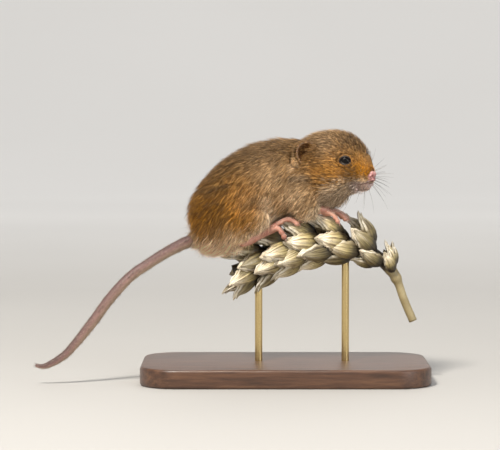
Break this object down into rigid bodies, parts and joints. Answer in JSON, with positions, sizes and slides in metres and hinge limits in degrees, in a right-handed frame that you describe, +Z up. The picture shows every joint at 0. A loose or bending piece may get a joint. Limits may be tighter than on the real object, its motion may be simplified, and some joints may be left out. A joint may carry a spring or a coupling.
{
  "type": "harvest mouse",
  "caption": "Life-size harvest mouse on a cut length of ripe wheat ear, tail hanging free, held by a flat display stand.",
  "frame": {"origin": "centre of the underside of the stand's base", "axes": "+X the way the mouse faces and along the stand's length, +Y to its left, +Z up"},
  "size_m": [0.1034, 0.044, 0.0654],
  "materials": {
    "fur": "short dense coat, orange brown above and cream below",
    "ear_skin": "thin bare skin with fine down",
    "eye": "wet gloss black",
    "skin": "bare pink skin, satin",
    "tail_skin": "finely ringed skin, satin",
    "straw": "dry matt husk and straw",
    "dark_wood": "oiled satin",
    "rod_metal": "satin"
  },
  "bodies": {
    "root": {"head": "fur", "neck": "fur", "torso": "fur", "rump": "fur", "ear_left": "ear_skin", "ear_right": "ear_skin", "eye_left": "eye", "eye_right": "eye", "foreleg_left": "fur", "foreleg_right": "fur", "hindleg_left": "fur", "hindleg_right": "fur", "forepaw_left": "skin", "forepaw_right": "skin", "hindfoot_left": "skin", "hindfoot_right": "skin", "tail_1": "tail_skin", "tail_2": "tail_skin", "tail_3": "tail_skin", "tail_4": "tail_skin", "perch_ear": "straw", "perch_stem": "straw", "stand_base": "dark_wood", "stand_rod_1": "rod_metal", "stand_rod_2": "rod_metal"}
  },
  "joints": []
}
